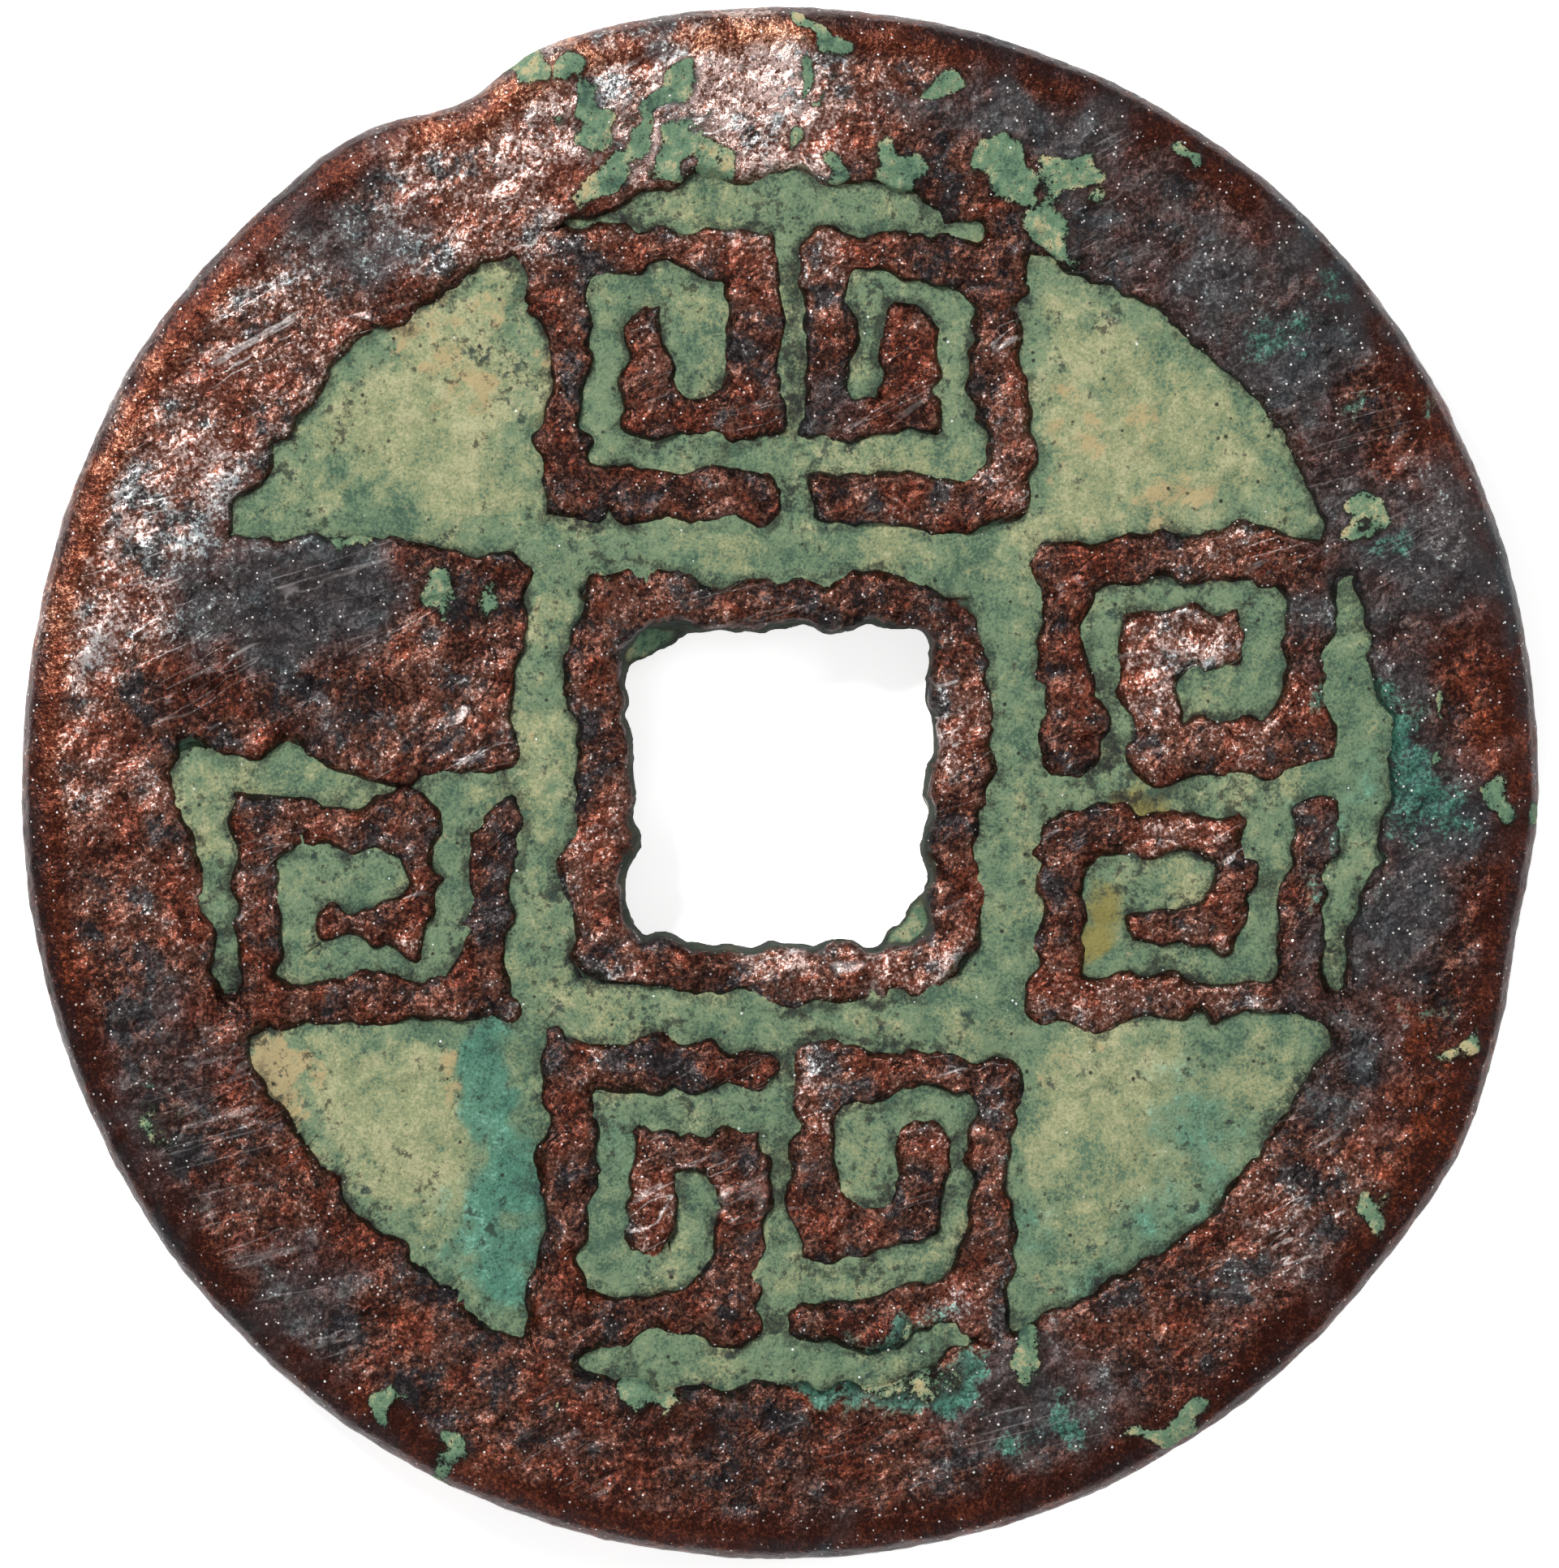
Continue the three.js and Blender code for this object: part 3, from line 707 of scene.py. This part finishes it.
# %% Mineral crust
crust = Finish("mineral_crust")
mottle = crust.noise(1.3, 6, 0.65, 41.0)
fleck = crust.noise(0.38, 5, 0.7, 43.0)
crumb = crust.noise(0.052, 3, 0.75, 47.0)
pale = crust.attribute("pale")
gap = crust.attribute("gap")
crumbly = (fleck - 0.5) * 0.7 + (crumb - 0.5) * 0.4

chalk_level = fleck * 0.38 + crumb * 0.42 + mottle * 0.2 + (pale - 0.55) * 0.035
chalk = crust.tones(chalk_level, 0.41, 0.58, MOSS, SAGE, SAGE_PALE)
verdigris = crust.tones(chalk_level, 0.38, 0.66, VERDIGRIS_DARK, VERDIGRIS, SAGE)
patchy = (crust.noise(0.9, 5, 0.7, 59.0) - 0.5) * 4.0
greener = (1 - (gap * 0.8 + pale * 0.3 + crumbly * 1.2 + patchy).step(0.1, 0.8)) * 0.75
chalk = crust.mix(greener, chalk, verdigris)
tan_noise = (crust.noise(0.7, 4, 0.6, 55.0) - 0.5) * 3.0
tan_here = (crust.attribute("tan") * 0.7 + tan_noise + crumbly).step(0.5, 0.8)
chalk = crust.mix(tan_here * 0.8, chalk, TAN)
olive_here = (crust.attribute("olive") + crumbly).step(0.4, 0.9)
chalk = crust.mix(olive_here * 0.75, chalk, OLIVE)
teal_here = (crust.attribute("teal") + (mottle - 0.5) * 1.4 + crumbly * 1.3).step(0.4, 0.95)
teal_tone = crust.tones(chalk_level, 0.38, 0.62, TURQUOISE_DARK, TURQUOISE_GREEN, TURQUOISE_PALE)
chalk = crust.mix(teal_here * 0.85, chalk, teal_tone)
sooty = crust.noise(0.17, 4, 0.7, 53.0) * 0.6 + mottle * 0.4 - pale * 0.02 - gap * 0.01
chalk = crust.mix(sooty.step(0.54, 0.6) * 0.75, chalk, SOOT_AND_SHADE)
pitted = crust.noise(0.32, 6, 0.75, 61.0) + (mottle - 0.5) * 0.3 - gap * 0.04
chalk = crust.mix(pitted.step(0.57, 0.64) * 0.8, chalk, PIT)
# Painted shade: a broken near-black line along the crust where it meets the metal walls.
contact_shade = (1 - (gap + crumbly * 0.5).step(0.0, 0.13)) * (mottle + fleck).step(0.75, 1.05)
chalk = crust.mix(contact_shade * 0.9, chalk, SOOT_AND_SHADE)
chalk = crust.mix(crust.dots(0.2, 0.045, 0.4, 3.0) * 0.9, chalk, SOOT_AND_SHADE)
chalk = crust.mix(crust.dots(0.17, 0.026, 0.3, 5.0), chalk, WHITE_SPECK)
crust_surface = crust.bump(fleck, 0.07)
crust_surface = crust.bump(crumb, 0.03, crust_surface)
crust.set(Base_Color=chalk, Roughness=0.88, Normal=crust_surface)
for piece in deposits:
    piece.data.materials.clear()
    piece.data.materials.append(crust.material)
print("crust finish has", len(crust.tree.nodes), "nodes")

# %% [markdown]
# The coin lies on a plain white table under a small bright lamp from the upper left, which picks
# out the edges of the relief, and two weaker ones, with the camera straight above it. The room
# is kept dim, because bare metal shows the room and not only the lamps.

# %% Table, light and camera
TABLE_COLOUR = (0.93, 0.93, 0.93, 1)
TABLE_GLOW = 0.62
TABLE_METRES = 6.0
ROOM_LIGHT = 0.32
WHITE = (1, 1, 1, 1)
BLACK = (0, 0, 0, 1)
LAMPS = (
    ("main_lamp", (-105, 125, 165), 45, 0.5),
    ("right_lamp", (190, 40, 150), 70, 0.16),
    ("front_lamp", (-40, -170, 130), 70, 0.11),
)
SEEING_RAYS = ("Is Camera Ray", "Is Glossy Ray", "Is Transmission Ray")

white = Finish("white_table")
rays = white.node("ShaderNodeLightPath", {}, {}).outputs
seen = sum(Value(white, rays[kind]) for kind in SEEING_RAYS).clamp()
glow = white.mix(seen, BLACK, WHITE)
white.set(Base_Color=TABLE_COLOUR, Roughness=0.9)
white.set(Emission_Color=glow, Emission_Strength=TABLE_GLOW)
bpy.ops.mesh.primitive_plane_add(size=TABLE_METRES)
floor = bpy.context.object
floor.name = "table"
floor.data.materials.append(white.material)


def soft_lamp(name, place_mm, size_mm, watts):
    light = bpy.data.lights.new(name, "AREA")
    light.size = size_mm * MM
    light.energy = watts
    lamp = bpy.data.objects.new(name, light)
    lamp.location = [c * MM for c in place_mm]
    lamp.rotation_euler = (-Vector(lamp.location)).to_track_quat("-Z", "Y").to_euler()
    bpy.context.scene.collection.objects.link(lamp)


for lamp_values in LAMPS:
    soft_lamp(*lamp_values)

world = bpy.data.worlds.new("room")
world.use_nodes = True
background = world.node_tree.nodes["Background"].inputs
background["Color"].default_value = WHITE
background["Strength"].default_value = ROOM_LIGHT
bpy.context.scene.world = world

view_width = PHOTO_WIDTH / PIXELS_PER_MM * MM
camera_data = bpy.data.cameras.new("camera")
camera_data.sensor_fit = "HORIZONTAL"
camera_data.sensor_width = SENSOR
camera_data.lens = SENSOR * CAMERA_HEIGHT / view_width
camera = bpy.data.objects.new("camera", camera_data)
camera.location = (0, -MIDDLE_SHIFT, coin_top + CAMERA_HEIGHT)
bpy.context.scene.collection.objects.link(camera)
bpy.context.scene.camera = camera
bpy.context.scene.view_settings.view_transform = "Standard"
